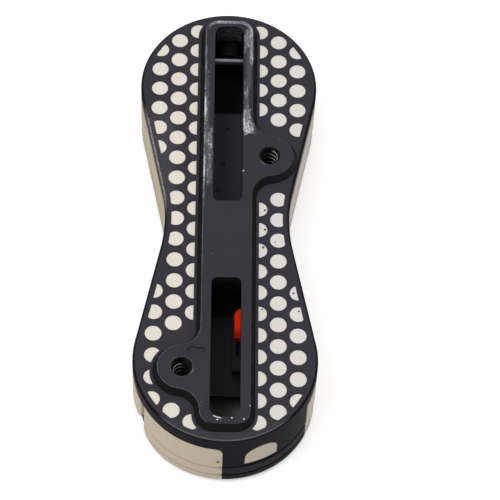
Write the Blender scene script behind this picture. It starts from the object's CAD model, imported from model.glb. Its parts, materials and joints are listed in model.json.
"""Looks for the foot pedal: materials, threads and small wear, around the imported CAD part."""

import json
import math

import bpy
from mathutils import Matrix, Vector

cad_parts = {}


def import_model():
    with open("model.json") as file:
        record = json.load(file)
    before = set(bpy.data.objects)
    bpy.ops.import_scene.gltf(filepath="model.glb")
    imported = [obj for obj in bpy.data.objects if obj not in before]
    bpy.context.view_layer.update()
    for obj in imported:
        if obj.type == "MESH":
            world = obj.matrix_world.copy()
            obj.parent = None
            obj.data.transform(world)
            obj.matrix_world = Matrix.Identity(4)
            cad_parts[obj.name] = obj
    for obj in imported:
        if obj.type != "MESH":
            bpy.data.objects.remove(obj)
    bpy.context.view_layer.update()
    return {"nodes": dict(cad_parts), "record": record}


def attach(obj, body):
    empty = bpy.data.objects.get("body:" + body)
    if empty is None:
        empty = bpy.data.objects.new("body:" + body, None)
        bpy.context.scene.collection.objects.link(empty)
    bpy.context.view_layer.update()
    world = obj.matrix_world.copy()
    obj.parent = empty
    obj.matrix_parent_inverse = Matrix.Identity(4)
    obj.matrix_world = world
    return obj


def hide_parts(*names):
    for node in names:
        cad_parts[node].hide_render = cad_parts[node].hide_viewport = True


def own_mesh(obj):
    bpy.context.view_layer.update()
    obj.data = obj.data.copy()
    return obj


MM = 0.001
# Sizes and places of the CAD part, in mm.
FACE_Z = 32.2                               # base face above the tread
SPINE_Z = 35.5                              # top of the spine
TOP_HALF_W, TOP_HALF_L, TOP_CORNER_R = 8.95, 86.15, 5.0     # outline of the spine's top
SLOT_HALF_W, SLOT_END_Y = 5.4, 83.5
BOSSES = ((15.4, 25.5), (-15.4, -63.8))     # far and near tapped hole
TAP_R = 3.4
GROOVE_ZS = (11.2, 5.5)
ARROW_X, ARROW_Y = (-14.2, -7.2), (-58.9, -54.9)

# The visual thread in each tapped hole, in mm.
THREAD_DEPTH = 0.5
THREAD_PITCH = 2.5
THREAD_LOW, THREAD_HIGH = FACE_Z - 8.6, SPINE_Z - 1.02

# Marks of use, in mm: x, y and radius of specks and spots.
SPECKS = ((13.8, 3.8, 0.42), (13.9, -4.4, 0.45), (13.2, -12.1, 0.5), (17.5, -9.8, 0.3), (17.9, -26.3, 0.2),
          (24.2, -31.1, 0.42), (26.2, -38.5, 0.36), (12.9, -38.0, 0.42))
YOKE_SPOTS = ((-0.1, 47.8, 0.7), (-1.8, 31.9, 0.8), (-3.4, 20.0, 0.7))
SPINE_CHIPS = ((2.5, -83.8, SPINE_Z), (-2.6, -84.6, SPINE_Z), (6.7, -84.2, SPINE_Z), (8.8, -78.9, 35.3),
               (5.7, 18.6, SPINE_Z))
BRUISES = ((12.9, 22.1, SPINE_Z), (-11.9, -65.4, SPINE_Z))     # one at the mouth of each tapped hole
# Stains and pits in the side wall: place, inner and outer radius, strength, sRGB colour.
WALL_PITS = (((-1.8, -91.5, 15.6), 0.5, 1.2, 0.45, (150, 128, 98)),
             ((-1.9, -91.5, 15.7), 0.5, 0.9, 1.0, (58, 42, 28)),
             ((-31.0, -69.8, 17.1), 0.2, 0.6, 1.0, (90, 74, 54)))

# The camera, fitted to the photo: its axes, its place in mm, and its lens.
CAMERA_RIGHT = (0.99957, 0.00662, 0.02864)
CAMERA_UP = (-0.02043, 0.85720, 0.51458)
CAMERA_BACK = (-0.02114, -0.51494, 0.85697)
CAMERA_AT = (-12.646, -527.067, 854.796 + FACE_Z)
LENS_MM, SENSOR_MM = 197.78, 36.0

# The studio: the sky's strength at the horizon and overhead, and how far the floor is lifted to white.
SKY_LOW, SKY_HIGH = 0.25, 0.85
FLOOR_GREY, FLOOR_GLOW = 0.80, 0.42

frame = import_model()
nodes = frame["nodes"]


# ---------------------------------------------------------------- node helpers
class Mat:
    """A procedural material, with short calls for its nodes. Places are in millimetres of the row frame."""

    def __init__(self, name):
        self.m = bpy.data.materials.new(name)
        self.m.use_nodes = True
        self.t = self.m.node_tree
        self.b = self.t.nodes["Principled BSDF"]
        coord = self.t.nodes.new("ShaderNodeTexCoord")
        self.p = self.vmath("SCALE", coord.outputs["Object"], scale=1000.0)
        sep = self.t.nodes.new("ShaderNodeSeparateXYZ")
        self.t.links.new(self.p, sep.inputs[0])
        self.x, self.y, self.z = sep.outputs
        geo = self.t.nodes.new("ShaderNodeNewGeometry")
        n = self.t.nodes.new("ShaderNodeSeparateXYZ")
        self.t.links.new(geo.outputs["True Normal"], n.inputs[0])
        _, self.ny, self.nz = n.outputs
        self.normal = None

    def put(self, socket, value):
        if isinstance(value, bpy.types.NodeSocket):
            self.t.links.new(value, socket)
        else:
            socket.default_value = value

    def math(self, op, *args, clamp=False):
        n = self.t.nodes.new("ShaderNodeMath")
        n.operation = op
        n.use_clamp = clamp
        for i, a in enumerate(args):
            self.put(n.inputs[i], a)
        return n.outputs[0]

    def times(self, first, *factors):
        for factor in factors:
            first = self.math("MULTIPLY", first, factor)
        return first

    def vmath(self, op, a, b=None, scale=None):
        n = self.t.nodes.new("ShaderNodeVectorMath")
        n.operation = op
        self.put(n.inputs[0], a)
        if b is not None:
            self.put(n.inputs[1], b)
        if scale is not None:
            n.inputs["Scale"].default_value = scale
        return n.outputs["Value"] if op in ("LENGTH", "DISTANCE", "DOT_PRODUCT") else n.outputs["Vector"]

    def length(self, dx, dy):
        return self.math("SQRT", self.math("ADD", self.times(dx, dx), self.times(dy, dy)))

    def ramp(self, x, lo, hi):
        """0 at lo to 1 at hi, smooth."""
        n = self.t.nodes.new("ShaderNodeMapRange")
        n.interpolation_type = "SMOOTHSTEP"
        self.put(n.inputs["Value"], x)
        flip = lo > hi
        n.inputs["From Min"].default_value = min(lo, hi)
        n.inputs["From Max"].default_value = max(lo, hi)
        n.inputs["To Min"].default_value = 1.0 if flip else 0.0
        n.inputs["To Max"].default_value = 0.0 if flip else 1.0
        return n.outputs["Result"]

    def span(self, x, lo, hi, soft):
        """1 between lo and hi, with soft ends."""
        return self.times(self.ramp(x, lo - soft, lo + soft), self.ramp(x, hi + soft, hi - soft))

    def noise(self, scale, detail=3.0, rough=0.55, stretch=None, shift=0.0, distort=0.0):
        n = self.t.nodes.new("ShaderNodeTexNoise")
        n.noise_dimensions = "4D"
        v = self.p if stretch is None else self.vmath("MULTIPLY", self.p, stretch)
        self.put(n.inputs["Vector"], v)
        n.inputs["W"].default_value = shift
        n.inputs["Scale"].default_value = scale
        n.inputs["Detail"].default_value = detail
        n.inputs["Roughness"].default_value = rough
        n.inputs["Distortion"].default_value = distort
        return n.outputs["Fac"]

    def cells(self, scale, stretch=None):
        """Distance to the nearest of scattered points, in cells."""
        n = self.t.nodes.new("ShaderNodeTexVoronoi")
        v = self.p if stretch is None else self.vmath("MULTIPLY", self.p, stretch)
        self.put(n.inputs["Vector"], v)
        n.inputs["Scale"].default_value = scale
        return n.outputs["Distance"]

    def mix(self, fac, a, b):
        n = self.t.nodes.new("ShaderNodeMix")
        n.data_type = "RGBA"
        self.put(n.inputs[0], fac)
        self.put(n.inputs[6], a)
        self.put(n.inputs[7], b)
        return n.outputs[2]

    def lerp(self, fac, a, b):
        n = self.t.nodes.new("ShaderNodeMix")
        n.data_type = "FLOAT"
        self.put(n.inputs[0], fac)
        self.put(n.inputs[2], a)
        self.put(n.inputs[3], b)
        return n.outputs[0]

    def near(self, at, r0, r1):
        """1 within r0 of a place, 0 beyond r1."""
        return self.ramp(self.vmath("DISTANCE", self.p, at), r1, r0)

    def soft_edges(self, radius):
        """Rounds the shading of hard edges by a radius in mm."""
        n = self.t.nodes.new("ShaderNodeBevel")
        n.samples = 4
        n.inputs["Radius"].default_value = radius * MM
        self.normal = n.outputs["Normal"]

    def near_edge(self, radius):
        """1 along sharp edges, 0 beyond a radius in mm."""
        n = self.t.nodes.new("ShaderNodeBevel")
        n.samples = 4
        n.inputs["Radius"].default_value = radius * MM
        flat = self.t.nodes.new("ShaderNodeNewGeometry").outputs["True Normal"]
        return self.ramp(self.vmath("DOT_PRODUCT", n.outputs["Normal"], flat), 0.985, 0.86)

    def bump(self, height, distance, strength=1.0):
        n = self.t.nodes.new("ShaderNodeBump")
        n.inputs["Strength"].default_value = strength
        n.inputs["Distance"].default_value = distance * MM
        self.put(n.inputs["Height"], height)
        if self.normal is not None:
            self.put(n.inputs["Normal"], self.normal)
        self.normal = n.outputs["Normal"]

    def done(self, color, rough, metallic=None, **sockets):
        self.put(self.b.inputs["Base Color"], color)
        self.put(self.b.inputs["Roughness"], rough)
        if metallic is not None:
            self.put(self.b.inputs["Metallic"], metallic)
        for k, v in sockets.items():
            self.b.inputs[k.replace("_", " ")].default_value = v
        if self.normal is not None:
            self.put(self.b.inputs["Normal"], self.normal)
        return self.m


def lin(r, g, b):
    """sRGB 0-255 to a linear colour."""
    def f(c):
        c /= 255.0
        return c / 12.92 if c <= 0.04045 else ((c + 0.055) / 1.055) ** 2.4
    return (f(r), f(g), f(b), 1.0)


def dimmed(color, share):
    """A linear colour at that share of its brightness."""
    return tuple(c * share for c in color[:3]) + (1.0,)


# ---------------------------------------------------------------- materials
def spine_wear(m):
    """How far the paint on the spine's lands is worn (white metal flecks) and rubbed (grey haze), each 0 to 1."""
    top = m.ramp(m.z, 34.7, 35.3)
    fleck = m.noise(2.2, 6.0, 0.8, stretch=(1.0, 0.6, 1.0), shift=5.0, distort=0.5)
    broad = m.noise(0.3, 4.0, 0.6, stretch=(1.0, 0.3, 1.0), shift=9.0)
    streak = m.noise(2.4, 4.0, 0.7, stretch=(1.0, 0.12, 1.0), shift=12.0)
    grain = m.math("ADD", fleck, m.times(m.math("SUBTRACT", broad, 0.5), 0.9))
    # Ragged edges for the marks.
    warp = m.times(m.math("SUBTRACT", m.noise(0.9, 3.0, 0.6, shift=15.0), 0.5), 2.2)
    x = m.math("ADD", m.x, warp)
    y = m.math("ADD", m.y, m.times(warp, 3.0))
    # Distance in from the far end's rounded edge.
    qx = m.math("MAXIMUM", m.math("SUBTRACT", m.math("ABSOLUTE", m.x), TOP_HALF_W - TOP_CORNER_R), 0.0)
    qy = m.math("MAXIMUM", m.math("SUBTRACT", m.y, TOP_HALF_L - TOP_CORNER_R), 0.0)
    inner = m.math("SUBTRACT", TOP_CORNER_R, m.length(qx, qy))

    def box(x0, x1, y0, y1, sx=0.25, sy=2.0, at=(m.x, m.y)):
        return m.times(m.span(at[0], x0, x1, sx), m.span(at[1], y0, y1, sy))

    loose = (x, y)
    arc = m.times(m.span(inner, 0.0, 1.25, 0.2), m.ramp(m.math("ADD", y, m.x), 73.0, 79.0))
    worn, rubbed = 0.0, 0.0
    # Place, how much of it is bare (lower is more), how bright, how hazy.
    marks = (
        (box(-9.0, -8.4, 10.0, 70.0, 0.15, 8.0), grain, 0.47, 0.82, 0.3),
        (box(-9.0, -8.6, 66.0, 84.0, 0.12), grain, 0.56, 0.5, 0.3),
        (box(-9.1, -8.75, -22.0, 14.0, 0.1), grain, 0.52, 0.5, 0.2),
        (box(-8.6, -7.4, 20.0, 60.0, 0.4, 6.0, loose), grain, 0.55, 0.85, 0.28),
        (box(-7.8, -6.1, 14.0, 36.0, 0.4, 2.0, loose), grain, 0.51, 0.72, 0.4),
        (box(-7.4, -6.9, 62.0, 80.0, 0.3), grain, 0.72, 0.6, 0.0),
        (box(6.3, 8.7, 74.0, 82.5, 0.3, 0.3), streak, 0.52, 0.5, 0.55),
        (box(5.8, 6.5, 72.5, 80.0, 0.2, 1.0, loose), grain, 0.46, 0.75, 0.4),
        (box(6.6, 8.3, 55.0, 72.8, 0.4, 1.0), streak, 0.66, 0.35, 0.24),
        (box(6.0, 7.5, 43.0, 58.0, 0.3, 3.0, loose), streak, 0.54, 0.62, 0.3),
        (box(5.6, 8.1, 35.5, 45.0, 0.5, 1.0, loose), grain, 0.42, 0.8, 0.6),
        (box(7.4, 10.0, 35.5, 40.5, 0.6, 1.0, loose), grain, 0.48, 0.8, 0.35),
        (arc, grain, 0.48, 0.75, 0.95),
        (m.near((-10.2, -76.0, SPINE_Z), 2.0, 5.5), grain, 0.64, 0.6, 0.0),
    )
    for mask, source, lo, bright, haze in marks:
        worn = m.math("MAXIMUM", worn, m.times(m.ramp(source, lo, lo + 0.12), mask, bright))
        rubbed = m.math("MAXIMUM", rubbed, m.times(mask, haze))
    rubbed = m.times(rubbed, m.math("ADD", m.times(streak, 0.9), 0.1))
    # A chipped streak on the near slot's end, and small chips by it and by the far slot.
    slant = m.math("ADD", m.math("ADD", m.y, m.times(m.x, 0.35)), m.times(warp, 0.5))
    chip = m.times(m.span(m.x, -4.0, -1.3, 0.3), m.span(slant, -84.75, -84.3, 0.15))
    for place in SPINE_CHIPS:
        chip = m.math("MAXIMUM", chip, m.near(place, 0.15, 0.4))
    for at, place in zip(BOSSES, BRUISES):
        r = m.vmath("DISTANCE", m.p, (at[0], at[1], SPINE_Z))
        bruise = m.times(m.near(place, 0.3, 1.8), m.span(r, 3.9, 4.5, 0.15))
        chip = m.math("MAXIMUM", chip, m.times(bruise, 0.13))
    worn = m.math("MAXIMUM", worn, chip)
    return m.math("MULTIPLY", worn, top, clamp=True), m.math("MULTIPLY", rubbed, top, clamp=True), fleck


def base_paint():
    m = Mat("base_paint")
    m.soft_edges(0.12)
    fine = m.noise(3.2, 4.0, 0.6)
    broad = m.noise(0.09, 3.0, 0.5, shift=2.0)
    up = m.ramp(m.nz, 0.7, 0.97)
    ax = m.math("ABSOLUTE", m.x)

    # Satin paint: flat faces a little lighter and bluer than the drafted flanks and the walls.
    flat = m.mix(broad, lin(50, 49, 55), lin(56, 55, 61))
    side = m.mix(broad, lin(18, 17, 21), lin(23, 22, 27))
    flank = m.times(m.span(m.z, FACE_Z + 0.1, SPINE_Z - 0.1, 0.1), m.ramp(m.nz, 0.9, 0.7))
    side = m.mix(flank, side, lin(27, 27, 28))
    paint = m.mix(up, side, flat)
    # The slots' walls darken with depth.
    deep = m.times(m.ramp(m.z, 34.5, 26.0), m.ramp(ax, 9.0, 8.0), m.ramp(m.math("ABSOLUTE", m.y), 86.0, 85.0))
    paint = m.mix(deep, paint, lin(12, 12, 13))

    worn, rubbed, fleck = spine_wear(m)
    color = m.mix(rubbed, paint, lin(146, 147, 154))
    color = m.mix(worn, color, lin(208, 208, 210))

    # Grey dust on the far slot's end wall.
    end_wall = m.span(m.y, SLOT_END_Y - 1.5, SLOT_END_Y + 1.0, 0.5)
    haze = m.times(m.span(m.z, 18.0, 31.0, 1.0), end_wall, m.ramp(ax, SLOT_HALF_W, SLOT_HALF_W - 0.4))
    dust = m.times(m.span(m.z, 29.0, 34.6, 0.8), end_wall, m.ramp(ax, SLOT_HALF_W - 0.2, SLOT_HALF_W - 1.0))
    color = m.mix(haze, color, lin(42, 42, 45))
    color = m.mix(m.times(dust, m.ramp(fleck, 0.47, 0.7)), color, lin(128, 130, 134))

    # The toe end's edge catches the light.
    toe = m.times(m.span(m.z, 31.75, 32.15, 0.08), m.ramp(m.y, -80.0, -85.0), 0.6)
    color = m.mix(toe, color, lin(112, 111, 120))

    # The arrow's outline is dark.
    edge = m.times(m.ramp(m.z, 35.0, 35.2), m.near_edge(0.3))
    arrow = m.times(m.span(m.x, *ARROW_X, 0.1), m.span(m.y, *ARROW_Y, 0.1))
    color = m.mix(m.times(edge, arrow, 0.8), color, lin(20, 20, 23))

    # Fine light wear along the spine's top edge, most on the left, and along the rim.
    line = m.times(edge, m.math("SUBTRACT", 1.0, arrow), m.lerp(m.ramp(m.x, 2.0, -6.0), 0.35, 1.0),
                   m.ramp(ax, SLOT_HALF_W + 0.4, SLOT_HALF_W + 1.0))
    rim = m.times(m.span(m.z, 31.5, 32.15, 0.08), m.ramp(m.x, -18.0, -22.0), m.span(m.y, 5.0, 45.0, 6.0), 0.9)
    thin = m.times(m.math("MAXIMUM", line, rim), m.ramp(fleck, 0.36, 0.6), 0.85)
    color = m.mix(thin, color, lin(176, 176, 180))

    # A few pale specks of grit.
    grit = m.cells(0.16)
    color = m.mix(m.times(m.ramp(grit, 0.045, 0.02), up, 0.4), color, lin(150, 148, 142))

    m.bump(fine, 0.015)
    rough = m.lerp(worn, m.lerp(fine, 0.45, 0.58), 0.4)
    return m.done(color, rough, Specular_IOR_Level=0.02)


def soft_rubber(name, low, high, specks=False, dirt=0.35, grain=0.02, extra=None):
    """Rubber between two colours. extra(m, color) adds what only some pieces have, here and below."""
    m = Mat(name)
    m.soft_edges(0.25)
    broad = m.noise(0.12, 4.0, 0.6, shift=1.0)
    fine = m.noise(2.6, 5.0, 0.7, shift=4.0)
    color = m.mix(m.lerp(0.65, broad, m.ramp(fine, 0.3, 0.7)), low, high)
    # Grime gathers in fine blotches.
    blotch = m.ramp(m.noise(0.35, 6.0, 0.7, shift=7.0), 0.56, 0.78)
    color = m.mix(m.times(blotch, dirt), color, dimmed(low, 0.62))
    if specks:
        # The right pad is greyer, with burnt specks.
        color = m.mix(m.times(m.ramp(m.x, 8.0, 12.0), 0.5), color, lin(203, 202, 201))
        ragged = m.times(m.math("SUBTRACT", m.noise(1.8, 3.0, shift=6.0), 0.5), 1.1)
        for sx, sy, r in SPECKS:
            d = m.math("ADD", m.vmath("DISTANCE", m.p, (sx, sy, FACE_Z)), ragged)
            color = m.mix(m.ramp(d, r + 0.18, r - 0.1), color, lin(26, 25, 24))
        rare = m.cells(0.23, stretch=(1.0, 0.8, 1.0))
        color = m.mix(m.times(m.ramp(rare, 0.055, 0.03), 0.6), color, lin(60, 52, 44))
    if extra is not None:
        color = extra(m, color)
    m.bump(fine, grain)
    return m.done(color, m.lerp(fine, 0.55, 0.72), Specular_IOR_Level=0.35)


def wall_marks(m, color):
    """Brown stains in the grooves and pits in the side wall; its right side is greyer and its left side browner."""
    color = m.mix(m.times(m.ramp(m.x, 6.0, 20.0), 0.6), color, lin(182, 177, 170))
    left = m.times(m.ramp(m.x, -12.0, -20.0), m.ramp(m.y, -62.0, -50.0))
    color = m.mix(left, color, m.vmath("MULTIPLY", color, (0.85, 0.85, 0.81)))
    stain = m.times(m.noise(0.5, 4.0, 0.6, stretch=(1, 1, 3), shift=3.3), 0.5)
    for z in GROOVE_ZS:
        color = m.mix(m.times(m.span(m.z, z - 0.3, z + 0.3, 0.25), stain), color, lin(128, 104, 74))
    for place, inner, outer, strength, rgb in WALL_PITS:
        color = m.mix(m.times(m.near(place, inner, outer), strength), color, lin(*rgb))
    specks = m.cells(0.21)
    return m.mix(m.times(m.ramp(specks, 0.07, 0.03), 0.6), color, lin(120, 98, 72))


def plastic(name, low, high, rough=(0.42, 0.55), grain=0.015, spec=0.4, edge=0.2, spots=(), extra=None):
    m = Mat(name)
    m.soft_edges(edge)
    fine = m.noise(4.0, 4.0, 0.65)
    color = m.mix(m.noise(0.15, 3.0, 0.5, shift=2.5), low, high)
    dust = m.ramp(m.noise(1.4, 6.0, 0.75, shift=8.0), 0.62, 0.8)
    color = m.mix(m.times(dust, 0.12), color, lin(110, 108, 104))
    for sx, sy, r in spots:
        d = m.vmath("DISTANCE", m.vmath("MULTIPLY", m.p, (1.0, 1.0, 0.0)), (sx, sy, 0.0))
        d = m.math("ADD", d, m.times(m.math("SUBTRACT", m.noise(0.9, 3.0, shift=5.5), 0.5), 2.4))
        color = m.mix(m.times(m.ramp(d, r + 0.25, r - 0.1), 0.8), color, lin(12, 12, 14))
    if extra is not None:
        color = extra(m, color)
    m.bump(fine, grain)
    return m.done(color, m.lerp(fine, rough[0], rough[1]), Specular_IOR_Level=spec)


def fallen_dust(m, color):
    """Grey dust that has come through the near slot onto the tread frame."""
    patch = m.times(m.span(m.x, -6.5, 6.5, 1.0), m.span(m.y, -72.0, -58.0, 2.0), m.span(m.z, 4.5, 7.0, 0.3))
    return m.mix(patch, color, lin(140, 138, 137))


def knob_shade(m, color):
    """The knob's toe end is dirtier and darker."""
    return m.mix(m.times(m.ramp(m.y, -40.5, -45.0), 0.75), color, lin(84, 16, 4))


def rod_shade(m, tone):
    """Old grease darkens the rod's near side."""
    return m.mix(m.ramp(m.ny, -0.2, -0.55), tone, (0.012, 0.012, 0.013, 1.0))


def metal(name, color, rough=(0.2, 0.35), stretch=(1, 1, 1), edge=0.1, grain=0.004, extra=None):
    m = Mat(name)
    m.soft_edges(edge)
    drawn = m.noise(3.0, 4.0, 0.6, stretch=stretch)
    dull = m.times(m.ramp(m.noise(0.5, 5.0, 0.7, shift=3.0), 0.45, 0.75), 0.6)
    tone = m.mix(dull, color, dimmed(color, 0.6))
    if extra is not None:
        tone = extra(m, tone)
    m.bump(drawn, grain)
    return m.done(tone, m.lerp(drawn, rough[0], rough[1]), metallic=1.0)


CREAM_LOW, CREAM_HIGH = lin(185, 170, 148), lin(205, 193, 174)
materials = {
    "base_paint": base_paint(),
    "grip_rubber": soft_rubber("grip_rubber", lin(205, 197, 186), lin(226, 220, 210), specks=True, dirt=0.12),
    "band_rubber": soft_rubber("band_rubber", CREAM_LOW, CREAM_HIGH, dirt=0.25, extra=wall_marks),
    "dark_plastic": plastic("dark_plastic", lin(30, 30, 33), lin(37, 36, 40), spec=0.02, extra=fallen_dust),
    "zinc_steel": metal("zinc_steel", (0.50, 0.50, 0.53, 1.0), (0.28, 0.42)),
    "rod_steel": metal("rod_steel", (0.20, 0.20, 0.23, 1.0), (0.18, 0.3), stretch=(0.15, 1, 1), extra=rod_shade),
    "spring_steel": metal("spring_steel", (0.34, 0.34, 0.37, 1.0), (0.28, 0.4)),
    "black_rubber": plastic("black_rubber", lin(18, 18, 18), lin(26, 26, 26), (0.7, 0.85), 0.03, 0.2),
    "board_laminate": plastic("board_laminate", lin(10, 13, 12), lin(14, 18, 16), (0.4, 0.55), 0.006, 0.15, 0.05),
    "chip_black": plastic("chip_black", lin(16, 16, 17), lin(22, 22, 24), (0.5, 0.6), 0.006, 0.4, 0.05),
    "tread_rubber": soft_rubber("tread_rubber", lin(188, 176, 155), lin(200, 190, 171), dirt=0.45, grain=0.04),
    "yoke_paint": plastic("yoke_paint", lin(50, 49, 55), lin(58, 57, 63), (0.4, 0.55), 0.012, 0.05,
                          spots=YOKE_SPOTS),
    "bronze": metal("bronze", (0.45, 0.32, 0.15, 1.0), (0.3, 0.45)),
    "magnet_nickel": metal("magnet_nickel", (0.55, 0.55, 0.57, 1.0), (0.15, 0.25)),
    "knob_orange": plastic("knob_orange", lin(226, 34, 0), lin(240, 44, 0), (0.35, 0.45), 0.006, 0.02,
                           extra=knob_shade),
}

slot_of = {s["node"]: s["material_slot"] for s in frame["record"]["subparts"]}
for name, obj in nodes.items():
    obj.data.materials.clear()
    obj.data.materials.append(materials[slot_of[name]])


# ---------------------------------------------------------------- added pieces
def add_mesh(name, verts, faces, material, body):
    me = bpy.data.meshes.new(name)
    me.from_pydata(verts, [], faces)
    me.update()
    me.materials.append(material)
    o = bpy.data.objects.new(name, me)
    bpy.context.scene.collection.objects.link(o)
    for p in me.polygons:
        p.use_smooth = True
    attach(o, body)
    return o


def thread(name, at, material):
    """A helical ridge of rounded triangular section on a tapped hole's wall."""
    steps = 48                      # points in each turn
    run_in, run_out = 20.0, 8.0     # points over which the ridge rises and runs out
    turns = (THREAD_HIGH - THREAD_LOW) / THREAD_PITCH
    count = int(turns * steps)
    # Each point's distance in from the wall, in depths, and its height, in pitches.
    profile = [(0.03, -0.4), (-0.5, -0.22), (-0.93, -0.06), (-1.0, 0.0), (-0.93, 0.06), (-0.5, 0.22), (0.03, 0.4)]
    verts, faces = [], []
    for k in range(count + 1):
        a = 2 * math.pi * k / steps
        fade = max(0.05, min(1.0, k / run_in, (count - k) / run_out))
        for dr, dz in profile:
            r = TAP_R + dr * THREAD_DEPTH * fade
            z = THREAD_LOW + THREAD_PITCH * k / steps + dz * THREAD_PITCH
            verts.append(((at[0] + r * math.cos(a)) * MM, (at[1] + r * math.sin(a)) * MM, z * MM))
    n = len(profile)
    for k in range(count):
        for j in range(n - 1):
            a, b = k * n + j, k * n + j + 1
            faces.append((a, a + n, b + n, b))
    return add_mesh(name, verts, faces, material, "base")


def thread_paint(name, at, side):
    """Black in the flanks, with bright crests that are most worn on one side (1 right, -1 left)."""
    m = Mat(name)
    dx = m.math("SUBTRACT", m.x, at[0])
    dy = m.math("SUBTRACT", m.y, at[1])
    r_crest = TAP_R - THREAD_DEPTH
    crest = m.ramp(m.length(dx, dy), r_crest + 0.2, r_crest + 0.08)
    rub = m.math("ADD", m.times(m.ramp(m.times(dx, side), -0.6, 1.5), 0.95), 0.05)
    fine = m.noise(2.5, 4.0, 0.7, shift=2.0)
    color = m.mix(m.times(crest, m.times(rub, m.ramp(fine, 0.3, 0.6))), lin(16, 16, 17), lin(204, 204, 209))
    m.bump(fine, 0.004)
    return m.done(color, 0.35, Specular_IOR_Level=0.2)


for name, at, side in (("thread_far", BOSSES[0], 1.0), ("thread_near", BOSSES[1], -1.0)):
    thread(name, at, thread_paint(name, at, side))


def coil(name):
    """A return spring's copy, which shortens towards its fixed upper end as the tread rises under it."""
    source = nodes[name]
    o = bpy.data.objects.new(name + "_coil", source.data.copy())
    bpy.context.scene.collection.objects.link(o)
    o.matrix_world = source.matrix_world.copy()
    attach(o, "base")
    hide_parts(name)
    # How far the tread frame rises under the spring's side that is farthest from the hinge.
    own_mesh(o)


for name in ("return_spring_far", "return_spring_near"):
    coil(name)


# ---------------------------------------------------------------- stage, light and camera
def seen(t):
    """1 for the rays that should meet the white backdrop: the camera's, mirrored ones and those through glass."""
    path = t.nodes.new("ShaderNodeLightPath")
    value = path.outputs["Is Camera Ray"]
    for kind in ("Is Glossy Ray", "Is Transmission Ray"):
        join = t.nodes.new("ShaderNodeMath")
        join.operation = "MAXIMUM"
        t.links.new(value, join.inputs[0])
        t.links.new(path.outputs[kind], join.inputs[1])
        value = join.outputs[0]
    return value


def stage():
    bpy.ops.mesh.primitive_plane_add(size=6.0, location=(0, 0, -0.0002))
    floor = bpy.context.object
    floor.name = "floor"
    m = bpy.data.materials.new("floor_white")
    m.use_nodes = True
    t = m.node_tree
    b = t.nodes["Principled BSDF"]
    b.inputs["Base Color"].default_value = (FLOOR_GREY, FLOOR_GREY, FLOOR_GREY, 1.0)
    b.inputs["Roughness"].default_value = 0.9
    b.inputs["Specular IOR Level"].default_value = 0.1
    glow = t.nodes.new("ShaderNodeMath")
    glow.operation = "MULTIPLY"
    t.links.new(seen(t), glow.inputs[0])
    glow.inputs[1].default_value = FLOOR_GLOW
    b.inputs["Emission Color"].default_value = (1, 1, 1, 1)
    t.links.new(glow.outputs[0], b.inputs["Emission Strength"])
    floor.data.materials.append(m)


def world():
    w = bpy.data.worlds.new("studio")
    bpy.context.scene.world = w
    w.use_nodes = True
    t = w.node_tree
    t.nodes.clear()
    out = t.nodes.new("ShaderNodeOutputWorld")
    coord = t.nodes.new("ShaderNodeTexCoord")
    sep = t.nodes.new("ShaderNodeSeparateXYZ")
    t.links.new(coord.outputs["Generated"], sep.inputs[0])
    up = t.nodes.new("ShaderNodeMapRange")
    up.inputs["From Min"].default_value = -0.1
    up.inputs["From Max"].default_value = 1.0
    up.inputs["To Min"].default_value = SKY_LOW
    up.inputs["To Max"].default_value = SKY_HIGH
    t.links.new(sep.outputs[2], up.inputs["Value"])
    lit = t.nodes.new("ShaderNodeBackground")
    lit.inputs["Color"].default_value = (1.0, 0.995, 0.99, 1.0)
    t.links.new(up.outputs[0], lit.inputs["Strength"])
    white = t.nodes.new("ShaderNodeBackground")
    white.inputs["Color"].default_value = (1, 1, 1, 1)
    white.inputs["Strength"].default_value = 1.0
    mix = t.nodes.new("ShaderNodeMixShader")
    t.links.new(seen(t), mix.inputs[0])
    t.links.new(lit.outputs[0], mix.inputs[1])
    t.links.new(white.outputs[0], mix.inputs[2])
    t.links.new(mix.outputs[0], out.inputs[0])


def area(name, at, to, size, power):
    d = bpy.data.lights.new(name, "AREA")
    d.shape = "DISK"
    d.size = size
    d.energy = power
    o = bpy.data.objects.new(name, d)
    bpy.context.scene.collection.objects.link(o)
    o.location = at
    o.rotation_euler = (Vector(to) - Vector(at)).to_track_quat("-Z", "Y").to_euler()


stage()
world()
area("key", (-0.55, -0.35, 1.2), (0, 0, 0.02), 0.7, 7.0)
area("fill", (0.7, 0.3, 1.0), (0, 0, 0.02), 0.8, 3.0)


def camera():
    d = bpy.data.cameras.new("camera")
    d.sensor_width = SENSOR_MM
    d.lens = LENS_MM
    d.clip_start = 0.05
    d.clip_end = 20.0
    o = bpy.data.objects.new("camera", d)
    bpy.context.scene.collection.objects.link(o)
    m = Matrix((CAMERA_RIGHT, CAMERA_UP, CAMERA_BACK)).transposed().to_4x4()
    m.translation = Vector(CAMERA_AT) * MM
    o.matrix_world = m
    bpy.context.scene.camera = o


camera()
bpy.context.scene.view_settings.view_transform = "Standard"
